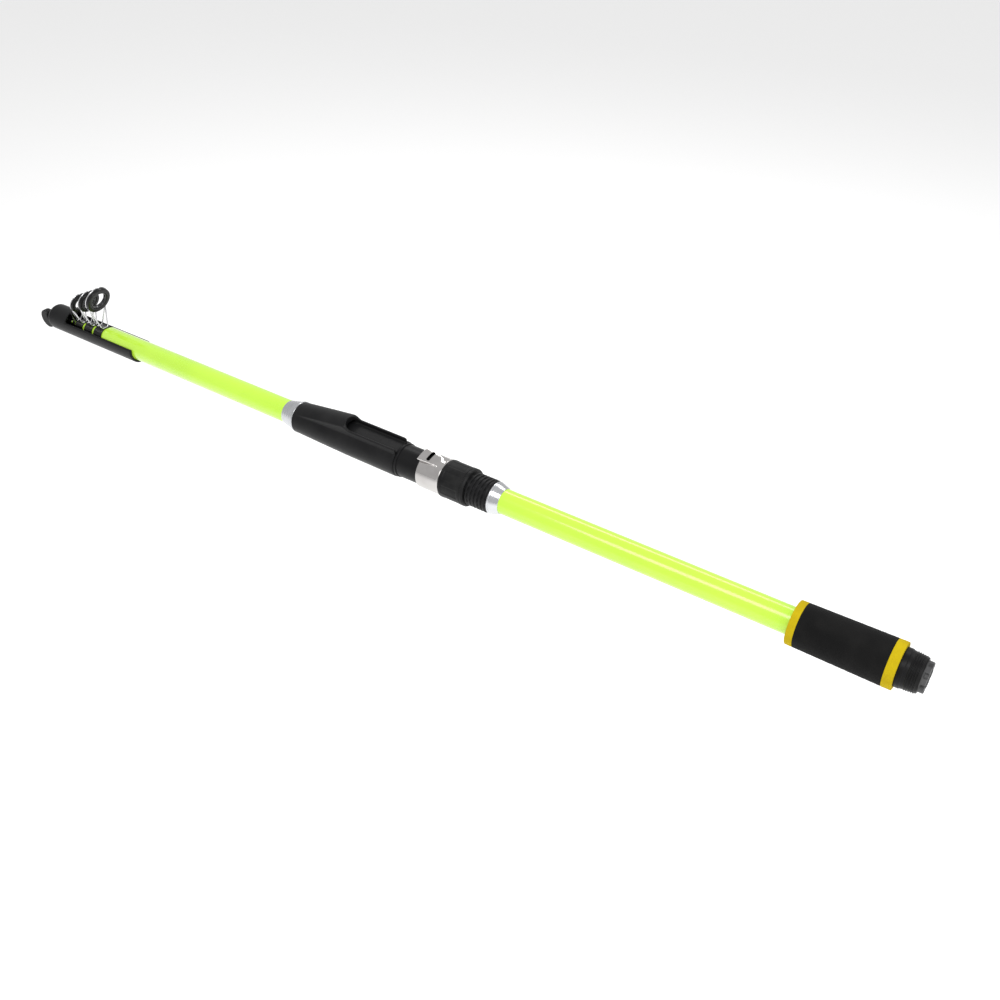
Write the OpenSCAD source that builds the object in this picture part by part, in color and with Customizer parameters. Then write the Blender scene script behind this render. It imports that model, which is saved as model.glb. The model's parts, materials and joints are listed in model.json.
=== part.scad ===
// Telescopic surf rod, closed for carrying, with a screw-down reel seat.
// The rod's axis is X, the butt end is at x = 0, the tip points to +X and the guides to +Z.

/* [Rod] */
// Where the butt section's open front end is, from the butt end
mouth_x = 942; // [700:1:1200]
// Outside radius of the butt section
butt_r = 12.2; // [10.5:0.05:16]
// Wall of the butt section
butt_wall = 1.3; // [1:0.05:1.6]
// How much smaller each following section's bore is
bore_drop = 2.1; // [1.8:0.05:2.3]
// Radius of the rod's very tip
tip_r = 1.4; // [0.8:0.1:2]
// How far each closed section stands out past the one it slides in
step_out = 19; // [17:0.5:26]
// Length of the thick rear end of each sliding section
swell_len = 60; // [20:1:100]
// Length of the stop lip inside each front end
lip_len = 12; // [6:0.5:20]
// Length of the taper in front of each thick rear end
taper_len = 70; // [20:1:200]
// Height of the stop lip
lip_h = 0.35; // [0.2:0.05:0.5]

/* [Butt end] */
// Height of the ridged butt cap above the rod
cap_wall = 4.4; // [3:0.1:6]
// Length of the butt plug's head and the ridged cap
cap_len = 22; // [18:0.5:30]
// Depth of the plug's castellated head
plug_head = 4.5; // [3:0.5:8]
// Number of teeth round the plug's head
plug_teeth = 8; // [4:1:12]
// Pitch of the plug's thread
plug_pitch = 2; // [1:0.25:3]
// Length of each coloured foam ring
ring_len = 8; // [4:0.5:15]
// Thickness of the foam grip
grip_wall = 8; // [5:0.1:12]
// Thickness of the foam grip at its front end
grip_front_wall = 7.1; // [4:0.1:11]
// Length of the dark foam grip
grip_len = 72.5; // [50:0.5:140]
// Length of the grip's tapered front stretch
grip_taper = 18; // [5:1:40]

/* [Reel seat] */
// Where the reel seat's rear end is, from the butt end
seat_x = 391; // [300:1:500]
// How far the seat is turned about the rod from the guides, in degrees
seat_turn = 10; // [-30:1:30]
// Length of the rear winding check
rear_check_len = 10.6; // [6:0.2:20]
// Thickness of the bushings between the rod and the seat
arbor_wall = 1; // [0.6:0.1:2]
// Wall of the seat's barrel under the fixed hood
sleeve_wall = 1.6; // [1.2:0.1:3]
// Extra thickness of the barrel where the moving hood slides
barrel_wall = 1.7; // [1.4:0.1:3]
// Depth of the seat's thread
thread_h = 0.9; // [0.5:0.1:1]
// Pitch of the seat's thread
seat_pitch = 4; // [2.5:0.5:6]
// Length of thread that shows behind the lock nut
thread_show = 25.4; // [24:0.2:40]
// Length of the lock nut
nut_len = 29; // [22:0.5:40]
// Height of the lock nut above the moving hood
nut_step = 0.3; // [0.2:0.1:3]
// Length of the moving hood
hood_len = 26; // [20:0.5:35]
// Wall of the moving hood
hood_skin = 1.15; // [1:0.05:2]
// How far the moving hood travels each way from the middle of its thread
hood_travel = 22; // [5:0.5:23]
// Clear length of barrel between the two hoods
foot_gap = 25; // [24:0.5:60]
// Half-width of the channel for the reel's foot
foot_half = 8; // [6:0.25:9]
// Thickness of the channel's floor over the barrel
floor_wall = 1.2; // [0.8:0.1:1.6]
// Length of the fixed hood's body
body_len = 136; // [110:1:180]
// Length of the open foot channel in front of the fixed hood's mouth
channel_len = 68; // [40:1:90]
// Length of the pocket under the fixed hood
pocket_len = 30; // [15:1:40]
// Height of the pocket's mouth
pocket_h = 6.6; // [4:0.2:7]
// Length of the front winding check
front_check_len = 18; // [10:0.5:30]

/* [Guides] */
// Outside radius of each guide ring, largest first
guide_r = [15.5, 13.5, 12, 5.2];
// Radius of the hole in each guide ring
guide_hole = [9, 7.6, 6.4, 2.4];
// Height of each ring's centre above the rod's axis
guide_z = [45.6, 38.5, 31, 14.5];
// Thickness of each guide ring along the line
guide_t = [5, 4.6, 4.2, 2.4];
// Lean of the rings towards the butt, in degrees
guide_lean = 20; // [0:1:30]
// Length of the foot tube that carries each guide
foot_len = 13; // [8:0.5:16]
// Wall of the foot tubes
foot_wall = 1.6; // [1:0.1:2]
// Radius of the guide wire
wire_r = 0.8; // [0.5:0.05:1.2]

/* [Tip cover] */
// How far the cover reaches back over the butt section
cover_back = 52; // [30:1:90]
// Wall of the cover
cover_wall = 2.3; // [1.5:0.1:4]
// Clear length inside the cover's nose, past the tip
nose_clear = 16; // [6:0.5:30]
// Height of the trough's side walls above the rod's axis
trough_z = 5; // [3:0.5:7]
// Outer radius of the hook on the nose
hook_r = 11; // [8:0.5:14]
// Width of the hook
hook_w = 7; // [4:0.5:10]

/* [Hidden] */
$fn = 96;

// Clearances: glued pieces, sliding fits, free passage and a screwed fit
glue = 0.05;
slide_fit = 0.05;
free_gap = 0.3;
stop_gap = 1;
// A cut runs this far past the faces that it opens
over = 1;

blank_x = 14;
sec_rear = 34;
front_wall = 0.75;
bore_r = butt_r - butt_wall;

// Bore of the butt (k = 0) and of each following section
function bore(k) = bore_r - k * bore_drop;
function sec_front(k) = mouth_x + k * step_out;
function swell_r(k) = bore(k - 1) - slide_fit;
function rear_r(k) = bore(k - 1) - lip_h - free_gap;
function front_r(k) = k == 4 ? tip_r : bore(k) + front_wall;
// Outside radius of section k near its front: straight, except for the tip's long taper
function sec_r(k, x) = k < 4 ? front_r(k)
    : rear_r(4) - (rear_r(4) - tip_r) * (x - sec_rear - swell_len) / (sec_front(4) - sec_rear - swell_len);

// Solid of revolution about the rod's axis, from points of [x, radius]
module lathe(points) {
    rotate([0, 90, 0]) rotate_extrude() polygon([for (p = points) [p[1], p[0]]]);
}

// Straight or tapered bar along the rod's axis
module bar(x0, x1, r0, r1 = undef) {
    translate([x0, 0, 0]) rotate([0, 90, 0])
        cylinder(h = x1 - x0, r1 = r0, r2 = is_undef(r1) ? r0 : r1);
}

module tube(x0, x1, outer, inner) {
    difference() {
        bar(x0, x1, outer);
        bar(x0 - over, x1 + over, inner);
    }
}

// ---- Sections of the rod ----

module butt_blank() {
    color("greenyellow") lathe([[blank_x, bore_r], [blank_x, butt_r], [mouth_x, butt_r],
        [mouth_x, bore_r - lip_h], [mouth_x - lip_len, bore_r - lip_h], [mouth_x - lip_len, bore_r]]);
}

// Sliding section k: a thick rear end, a taper, a straight wall and a stop lip inside its front
module section(k) {
    shoulder = sec_rear + swell_len;
    front = sec_front(k);
    color("greenyellow") lathe([[sec_rear, bore(k)], [sec_rear, swell_r(k)], [shoulder, swell_r(k)],
        [shoulder, rear_r(k)], [shoulder + taper_len, front_r(k)],
        [front, front_r(k)], [front, bore(k) - lip_h],
        [front - lip_len, bore(k) - lip_h], [front - lip_len, bore(k)]]);
}

module tip_section() {
    shoulder = sec_rear + swell_len;
    color("greenyellow") lathe([[sec_rear, 0], [sec_rear, swell_r(4)], [shoulder, swell_r(4)],
        [shoulder, rear_r(4)], [sec_front(4), tip_r], [sec_front(4), 0]]);
}

// ---- Butt end ----

cap_r = butt_r + cap_wall;
grip_r = butt_r + grip_wall;
grip_front_r = butt_r + grip_front_wall;
shank_r = bore_r + 0.6;
ridge_h = 0.5;
ridge_count = 5;
thread_end = blank_x - 0.5;

module butt_cap() {
    rim = plug_head - 0.5;
    collar = 5;
    ridge_pitch = (cap_len - rim - collar - 2) / ridge_count;
    color("#1c1c1e") difference() {
        lathe(concat([[rim, shank_r + slide_fit], [rim, cap_r - 2], [rim + 1.2, cap_r - 1 - ridge_h]],
            [for (i = [0 : ridge_count - 1], s = [0 : 3])
                [rim + 1.6 + ridge_pitch * (i + [0, 0.3, 0.6, 0.8][s]),
                    cap_r - 1 + i * 0.15 - [ridge_h, 0, 0, ridge_h][s]]],
            [[cap_len - collar, cap_r - ridge_h], [cap_len - collar + 0.8, cap_r],
                [cap_len, cap_r], [cap_len, shank_r + slide_fit]]));
        bar(blank_x - glue, cap_len + over, butt_r + glue);
    }
}

// Screw plug: a castellated head, a threaded shank, a groove for the seal and a stub for the pad
module butt_plug() {
    notch_w = 4.6;
    notch_depth = 3;
    head_r = shank_r + 1.6;
    color("#2a2a2c") difference() {
        union() {
            bar(0, 0.6, head_r - 0.6, head_r);
            bar(0.6, plug_head - 0.5 - glue, head_r);
            bar(plug_head - over, thread_end, shank_r);
            bar(thread_end, seal_x + seal_len, bore_r - free_gap);
            bar(seal_x + seal_len, pad_x + stub_len, stub_r);
        }
        difference() {
            bar(seal_x, seal_x + 2 * seal_t, bore_r + over);
            bar(seal_x - over, seal_x + seal_len, bore_r - slide_fit - 2 * seal_t - glue);
        }
        // gaps between the teeth, for a coin or a wrench
        for (i = [0 : plug_teeth - 1])
            rotate([360 * i / plug_teeth, 0, 0])
                translate([-over, -notch_w / 2, head_r - notch_depth])
                    cube([plug_head * 0.6 + over, notch_w, notch_depth + over]);
    }
}

stub_r = 3;
seal_t = 0.9;
seal_x = 15.5;
seal_len = 4;
pad_x = 20;
stub_len = 8;

module plug_seal() {
    color("black") rotate([0, 90, 0]) rotate_extrude()
        translate([bore_r - slide_fit - seal_t, seal_x + seal_t]) circle(r = seal_t, $fn = 32);
}

module damper_pad() {
    color("#303030") difference() {
        bar(pad_x, sec_rear - 0.5, bore_r - 2 * free_gap);
        bar(pad_x - over, pad_x + stub_len + 0.5, stub_r + slide_fit);
    }
}

module rear_grip_ring() {
    color("gold") tube(cap_len, cap_len + ring_len, grip_r, butt_r + glue);
}

module butt_grip() {
    x0 = cap_len + ring_len;
    x1 = x0 + grip_len;
    color("#262626") difference() {
        union() {
            bar(x0, x1 - grip_taper, grip_r);
            bar(x1 - grip_taper, x1, grip_r, grip_front_r);
        }
        bar(x0 - over, x1 + over, butt_r + glue);
    }
}

module front_grip_ring() {
    x0 = cap_len + ring_len + grip_len;
    x1 = x0 + 6.5;
    color("gold") difference() {
        union() {
            bar(x0, x1 - 1, grip_front_r);
            bar(x1 - 1, x1, grip_front_r, grip_front_r - 1);
        }
        bar(x0 - over, x1 + over, butt_r + glue);
    }
}

// ---- Reel seat ----

barrel_x = seat_x + rear_check_len;
nut_x = barrel_x + thread_show;
hood_x = nut_x + nut_len;
hood_front = hood_x + hood_len;
body_x = hood_front + foot_gap;
body_front = body_x + body_len;
mouth_step = body_x + channel_len;
thread_front = hood_x + hood_travel;
barrel_bore = butt_r + arbor_wall;
sleeve_r = barrel_bore + sleeve_wall;
barrel_r = sleeve_r + barrel_wall;
crest_r = barrel_r - free_gap;
foot_floor = sleeve_r + floor_wall;
liner_in = barrel_r + slide_fit;
liner_out = liner_in + 0.8;
hood_r = liner_out + hood_skin;
nut_r = hood_r + nut_step;
liner_tail = 7;
bead_len = 1.6;
key_w = 3;
key_floor = crest_r - thread_h - 0.1;
hood_wall = 1;
lip_top = 5.4;
lip_half = foot_half + 2.8;
lip_rear = 6;
end_ring_len = 3;

module rear_winding_check() {
    x1 = barrel_x;
    color("silver") difference() {
        lathe([[seat_x, 0], [seat_x, butt_r + 0.5], [seat_x + 1, butt_r + 1.2],
            [x1 - 2.2, crest_r - 0.5], [x1 - 1.6, crest_r - 1], [x1 - 1.2, crest_r - 0.2],
            [x1, crest_r - 0.2], [x1, 0]]);
        bar(seat_x - over, x1 + over, butt_r + glue);
    }
}

// Threaded tube that the hoods sit on, with a keyway below for the moving hood
module seat_barrel() {
    root = crest_r - thread_h;
    turns = floor((thread_front - barrel_x) / seat_pitch);
    color("#202022") rotate([-seat_turn, 0, 0]) difference() {
        lathe(concat([[barrel_x, barrel_bore], [barrel_x, root]],
            [for (i = [0 : turns - 1], s = [0 : 3])
                [barrel_x + seat_pitch * (i + [0.2, 0.4, 0.6, 0.8][s]), [root, crest_r, crest_r, root][s]]],
            [[thread_front, root], [thread_front, barrel_r], [body_x, barrel_r], [body_x, sleeve_r],
                [body_front, sleeve_r], [body_front, barrel_bore]]));
        translate([nut_x, -key_w / 2, -barrel_r - over])
            cube([body_x - nut_x, key_w, barrel_r + over - key_floor]);
    }
}

module arbor(x0, x1) {
    color("#8a8a80") tube(x0, x1, barrel_bore - glue, butt_r + glue);
}

// Lock nut with grip panels, a thread relief and a groove that snaps over the liner's bead
module lock_nut() {
    panels = 8;
    panel_w = 9.5;
    panel_depth = 0.5;
    collar = 6;
    groove = 0.35;
    tail_x = hood_x - liner_tail;
    color("#1a1a1b") difference() {
        union() {
            bar(nut_x, nut_x + 1.5, nut_r - 1.2, nut_r);
            bar(nut_x + 1.5, hood_x - free_gap, nut_r);
        }
        bar(nut_x - over, hood_x, crest_r + 0.15);
        bar(tail_x - free_gap, hood_x + over, liner_out + free_gap);
        bar(tail_x - free_gap, tail_x + bead_len + free_gap, liner_out + free_gap + groove);
        for (i = [0 : panels - 1])
            rotate([360 * (i + 0.5) / panels, 0, 0])
                translate([nut_x + collar, -panel_w / 2, nut_r - panel_depth - 0.6])
                    cube([nut_len - collar - 3, panel_w, 3]);
    }
}

// Raised lip of the moving hood: a low arched plate that widens and rises towards the fixed hood
module lip_block() {
    plate_r = 42;
    x0 = hood_x + 5;
    run = hood_front - x0;
    intersection() {
        translate([x0, 0, hood_r + 0.3 - plate_r]) rotate([0, 90 - atan(lip_top / run), 0])
            translate([0, 0, -hood_len]) cylinder(h = 3 * hood_len, r = plate_r);
        translate([0, 0, sleeve_r / 2]) linear_extrude(2 * hood_r)
            polygon([[x0, -lip_rear], [hood_front, -lip_half], [hood_front, lip_half], [x0, lip_rear]]);
    }
}

module moving_hood() {
    slot_len = 13;
    slot_w = 3.4;
    slot_x = hood_front - 9;
    ramp_x = hood_x + 9;
    throat = hood_r + lip_top - 2.2;
    color("#c9c9cc") rotate([-seat_turn, 0, 0]) difference() {
        union() {
            bar(hood_x, hood_front, hood_r);
            lip_block();
        }
        bar(hood_x - over, hood_front + over, liner_out + glue);
        translate([0, foot_half, 0]) rotate([90, 0, 0]) linear_extrude(2 * foot_half)
            polygon([[ramp_x, sleeve_r], [ramp_x, hood_r - hood_wall],
                [hood_front + over, throat], [hood_front + over, sleeve_r]]);
        for (s = [-1, 1])
            translate([slot_x, s * (slot_len - slot_w) / 2, sleeve_r]) cylinder(h = hood_r, r = slot_w / 2);
        translate([slot_x - slot_w / 2, -(slot_len - slot_w) / 2, sleeve_r])
            cube([slot_w, slot_len - slot_w, hood_r]);
    }
}

// Plastic sleeve inside the moving hood, with a key below and a bead that holds the nut
module hood_liner() {
    tail_x = hood_x - liner_tail;
    liner_front = hood_front - 0.5;
    color("#151515") rotate([-seat_turn, 0, 0]) {
        difference() {
            union() {
                bar(tail_x, liner_front, liner_out);
                bar(tail_x, tail_x + bead_len, liner_out + 0.35);
            }
            bar(tail_x - over, liner_front + over, liner_in);
            // the top is open where the reel's foot slides in
            translate([hood_x + 10, -foot_half, 0]) cube([hood_len, 2 * foot_half, 2 * hood_r]);
        }
        translate([hood_x, -key_w / 2 + 0.3, -liner_in - 0.4])
            cube([hood_len - 6, key_w - 0.6, liner_in + 0.4 - key_floor - free_gap]);
    }
}

module seat_end_ring() {
    color("#111111") tube(body_x, body_x + end_ring_len - 0.4, sleeve_r + 2.6, sleeve_r + glue);
}

nose_r = sleeve_r + 1.5;

// Fore grip and fixed hood in one: side walls, foot channel, arched mouth and pocket
module fixed_hood_body() {
    x0 = body_x + end_ring_len;
    skirt_r = sleeve_r + 3.4;
    wall_top = foot_floor + 4.2;
    wall_half = foot_half + 2.4;
    arch_r = sleeve_r + 6;
    arch_z = 5.8;
    arch_half = wall_half;
    arch_tilt = atan((arch_z + 0.2) / (body_front - mouth_step));
    color("#232324") rotate([-seat_turn, 0, 0]) difference() {
        union() {
            lathe([[x0, 0], [x0, skirt_r - 0.4], [x0 + 1.5, skirt_r], [mouth_step, skirt_r - 0.4],
                [body_x + 0.77 * body_len, skirt_r - 1.1], [body_front, nose_r], [body_front, 0]]);
            intersection() {
                bar(x0, mouth_step, norm([wall_half, wall_top]) - 0.6);
                translate([x0, -wall_half, 0]) cube([channel_len, 2 * wall_half, wall_top]);
            }
            intersection() {
                translate([mouth_step - 12, 0, arch_z]) rotate([0, arch_tilt, 0]) rotate([0, 90, 0])
                    cylinder(h = body_front - mouth_step + 12, r1 = arch_r, r2 = nose_r);
                translate([mouth_step - 12, -arch_half, 0])
                    cube([body_front - mouth_step + 12, 2 * arch_half, 2 * arch_r]);
            }
        }
        bar(x0 - over, body_front + over, sleeve_r + glue);
        // foot channel and the tapered pocket behind the mouth
        translate([x0 - over, -foot_half, foot_floor])
            cube([mouth_step - x0 + over, 2 * foot_half, 2 * arch_r]);
        translate([0, foot_half - 1, 0]) rotate([90, 0, 0]) linear_extrude(2 * foot_half - 2)
            polygon([[mouth_step - over, foot_floor], [mouth_step - over, foot_floor + pocket_h],
                [mouth_step + pocket_len, foot_floor + 3], [mouth_step + pocket_len, foot_floor]]);
    }
}

module front_winding_check() {
    x1 = body_front + front_check_len;
    color("silver") difference() {
        lathe([[body_front, 0], [body_front, nose_r + 0.4], [body_front + 1.5, nose_r + 0.4],
            [body_front + 2, nose_r - 0.1], [x1 - 1, butt_r + 0.8], [x1, butt_r + 0.3], [x1, 0]]);
        bar(body_front - over, x1 + over, butt_r + glue);
    }
}

// ---- Guides ----

foot_margin = 1.5;
insert_wall = 1.2;
embed = 0.7;

function foot_x(k) = sec_front(k) - foot_margin - (k == 4 ? foot_len / 2 + tube_len : foot_len);
function foot_front(k) = foot_x(k) + (k == 4 ? foot_len / 2 : foot_len);
function foot_bore(k) = sec_r(k, foot_x(k)) + glue;
function foot_wall_of(k) = foot_wall * (k == 4 ? 0.65 : 1);
function wire_of(k) = wire_r * (k == 4 ? 0.65 : 1);
function foot_r(k) = foot_bore(k) + foot_wall_of(k);
function ring_x(k) = foot_x(k) + [0, 2.5, 2, 1.5, 0][k];

// The wire hoop lies in the ring's front shoulder, this far along the ring's own axis
function hoop_r(k) = guide_r[k - 1] - embed;
function hoop_h(k) = guide_t[k - 1] / 2 - embed / 2;
// Point on guide k's hoop, at an angle from its top
function hoop_point(k, angle) = [
    ring_x(k) - sin(guide_lean) * cos(angle) * hoop_r(k) + cos(guide_lean) * hoop_h(k),
    sin(angle) * hoop_r(k),
    guide_z[k - 1] + cos(guide_lean) * cos(angle) * hoop_r(k) + sin(guide_lean) * hoop_h(k)];
// Point on guide k's foot tube, at an angle from its top
function foot_point(k, x, angle) = [x, foot_r(k) * sin(angle), foot_r(k) * cos(angle)];

// A bend in the wire is a little thicker than the wire
knee = 1.12;

// Straight length of wire between two points
module wire(a, b, r) {
    d = b - a;
    translate(a) rotate([0, acos(d[2] / norm(d)), atan2(d[1], d[0])])
        cylinder(h = norm(d), r = r, $fn = 24);
}

module guide_foot(k) {
    color("#141414") tube(foot_x(k), foot_front(k), foot_r(k), foot_bore(k));
}

// Wire hoop that the ring is set in
module guide_hoop(k) {
    color("#d8d8d8") place_ring(k) translate([0, 0, hoop_h(k)]) rotate_extrude()
        translate([hoop_r(k), 0]) circle(r = wire_of(k), $fn = 24);
}

// Two bent wires, each crossing inside the foot tube's wall from one leg to the other:
// the rear pair of legs meets the hoop low down, and the front pair crosses them and meets it high up
module guide_frame(k) {
    sink = foot_wall_of(k) - wire_of(k) - 0.12;
    spread = acos(1 - sink / foot_r(k));
    ends = [foot_x(k) + 1.4, foot_front(k) - 1.4];
    down = [0, 0, sink];
    color("#d8d8d8") {
        for (pair = [0, 1]) {
            for (side = [-1, 1]) {
                wire(hoop_point(k, side * [128, 82][pair]), foot_point(k, ends[pair], side * spread), wire_of(k));
                translate(foot_point(k, ends[pair], side * spread)) sphere(r = wire_of(k) * knee, $fn = 24);
            }
            wire(foot_point(k, ends[pair], -spread), foot_point(k, ends[pair], spread), wire_of(k));
        }
        // soldered bridge that ties the rear wire to the front one
        wire(foot_point(k, ends[0], 0) - down, foot_point(k, ends[1], 0) - down, wire_of(k) * 0.8);
    }
}

// Ring with rounded inner and outer edges
module round_ring(inner, outer, thick) {
    rotate_extrude() {
        translate([inner + thick / 2, -thick / 2]) square([outer - inner - thick, thick]);
        translate([inner + thick / 2, 0]) circle(r = thick / 2, $fn = 48);
        translate([outer - thick / 2, 0]) circle(r = thick / 2, $fn = 48);
    }
}

module place_ring(k) {
    translate([ring_x(k), 0, guide_z[k - 1]]) rotate([0, 90 - guide_lean, 0]) children();
}

module guide_ring(k) {
    color("#101010") place_ring(k) difference() {
        round_ring(guide_hole[k - 1] - (k == 4 ? 0 : 1), guide_r[k - 1], guide_t[k - 1]);
        if (k < 4)
            translate([0, 0, -guide_t[k - 1]])
                cylinder(h = 2 * guide_t[k - 1], r = guide_hole[k - 1] + insert_wall);
    }
}

module guide_insert(k) {
    h = guide_t[k - 1] * 0.8;
    color("#2b2b2d") place_ring(k) translate([0, 0, -h / 2]) difference() {
        cylinder(h = h, r = guide_hole[k - 1] + insert_wall - glue);
        translate([0, 0, -over]) cylinder(h = h + 2 * over, r = guide_hole[k - 1]);
    }
}

// ---- Tip-top ----

tube_len = 9;
top_hole = 2.2;
top_r = 4.2;
top_t = 1.4;
top_x = sec_front(4) + 1.5;
top_z = 6.4;
tube_x = sec_front(4) - tube_len;
tube_bore = sec_r(4, tube_x) + glue;
tube_r = tube_bore + 0.6;

module tip_top_tube() {
    color("#d8d8d8") difference() {
        bar(tube_x, sec_front(4) + 0.6, tube_r);
        bar(tube_x - over, sec_front(4) + glue, tube_bore);
    }
}

module tip_top_frame() {
    hoop = top_r - 0.2;
    color("#d8d8d8") {
        translate([top_x, 0, top_z]) rotate([0, 90, 0]) rotate_extrude()
            translate([hoop, 0]) circle(r = wire_of(4), $fn = 24);
        for (side = [-1, 1])
            wire([top_x, side * hoop, top_z], [tube_x + 1, side * tube_r * 0.8, tube_r * 0.6], wire_of(4));
    }
}

module tip_top_ring() {
    color("#101010") translate([top_x, 0, top_z]) rotate([0, 90, 0]) round_ring(top_hole, top_r, top_t);
}

// ---- Tip cover ----

nose_wall = 3;
cover_x = mouth_x - cover_back;
cover_front = sec_front(4) + nose_clear + nose_wall;
// The nose starts just in front of the last guide's leaning ring
nose_x = ring_x(4) + guide_r[3] * sin(guide_lean) + guide_t[3] / 2 + stop_gap;
cover_bore = butt_r + free_gap;
cover_r = cover_bore + cover_wall;

// Half-closed sleeve over the folded front, with a closed nose and a line hook
module tip_cover() {
    chamfer = 3;
    hook_x = cover_front + 19;
    hook_z = -8.5;
    color("#161616") union() {
        difference() {
            union() {
                bar(cover_x, cover_x + 1, cover_r - 0.6, cover_r);
                bar(cover_x + 1, cover_front - chamfer, cover_r);
                bar(cover_front - chamfer, cover_front, cover_r, cover_r - 2);
            }
            bar(cover_x - over, cover_front - nose_wall, cover_bore);
            translate([cover_x - over, -2 * cover_r, trough_z])
                cube([nose_x - cover_x + over, 4 * cover_r, 2 * cover_r]);
        }
        translate([0, hook_w / 2, 0]) rotate([90, 0, 0]) linear_extrude(hook_w) difference() {
            union() {
                translate([hook_x, hook_z]) circle(r = hook_r);
                translate([cover_front - nose_wall / 2, hook_z - hook_r + 8]) rotate(-10)
                    square([hook_x - cover_front, 4.5]);
            }
            translate([hook_x - 6.5, hook_z + 5]) circle(r = 5.2);
            translate([hook_x - 2 * hook_r - 2, hook_z + 5]) square([2 * hook_r - 4.5, 2 * hook_r]);
        }
    }
}

butt_blank();
butt_cap();
butt_plug();
plug_seal();
damper_pad();
rear_grip_ring();
butt_grip();
front_grip_ring();
rear_winding_check();
seat_barrel();
arbor(barrel_x + 2, barrel_x + 20);  // rear_arbor
arbor(body_front - 22, body_front - 2);  // front_arbor
lock_nut();
moving_hood();
hood_liner();
seat_end_ring();
fixed_hood_body();
front_winding_check();
section(1);  // second_section
section(2);  // third_section
section(3);  // fourth_section
tip_section();
for (k = [1 : 4]) {
    guide_foot(k);
    guide_frame(k);
    guide_hoop(k);
    guide_ring(k);
    if (k < 4) guide_insert(k);
}
tip_top_tube();
tip_top_frame();
tip_top_ring();
tip_cover();
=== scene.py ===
# Telescopic surf rod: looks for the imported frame. Metres, rod along X, guides towards +Z.
import json
import math

import bmesh
import bpy
import numpy as np
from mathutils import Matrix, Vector


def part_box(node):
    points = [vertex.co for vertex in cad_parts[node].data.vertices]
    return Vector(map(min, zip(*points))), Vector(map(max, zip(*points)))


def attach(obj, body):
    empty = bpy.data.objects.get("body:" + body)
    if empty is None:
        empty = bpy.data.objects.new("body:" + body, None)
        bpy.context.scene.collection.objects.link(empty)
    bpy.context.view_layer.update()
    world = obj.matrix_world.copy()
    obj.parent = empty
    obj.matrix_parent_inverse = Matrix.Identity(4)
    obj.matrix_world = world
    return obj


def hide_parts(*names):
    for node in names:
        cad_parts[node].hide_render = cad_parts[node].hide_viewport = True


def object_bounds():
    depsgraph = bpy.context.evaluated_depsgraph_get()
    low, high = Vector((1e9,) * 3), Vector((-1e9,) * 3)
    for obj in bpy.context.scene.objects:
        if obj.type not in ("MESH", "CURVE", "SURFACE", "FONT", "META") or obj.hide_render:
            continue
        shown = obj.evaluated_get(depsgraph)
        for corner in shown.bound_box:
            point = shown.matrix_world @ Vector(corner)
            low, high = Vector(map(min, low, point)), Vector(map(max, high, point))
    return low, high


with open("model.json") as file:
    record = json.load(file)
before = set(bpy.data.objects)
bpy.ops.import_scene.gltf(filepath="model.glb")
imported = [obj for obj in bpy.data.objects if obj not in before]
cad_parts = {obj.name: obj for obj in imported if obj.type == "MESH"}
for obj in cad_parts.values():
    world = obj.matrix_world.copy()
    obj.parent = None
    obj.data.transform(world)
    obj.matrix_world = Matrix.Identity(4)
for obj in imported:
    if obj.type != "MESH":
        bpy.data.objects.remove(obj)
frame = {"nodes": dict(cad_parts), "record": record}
cadLow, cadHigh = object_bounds()
nodes = frame["nodes"]
mm = 0.001
print("frame loaded:", len(nodes), "nodes")


# Looks: colours, roughness and grain of each finish

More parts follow.
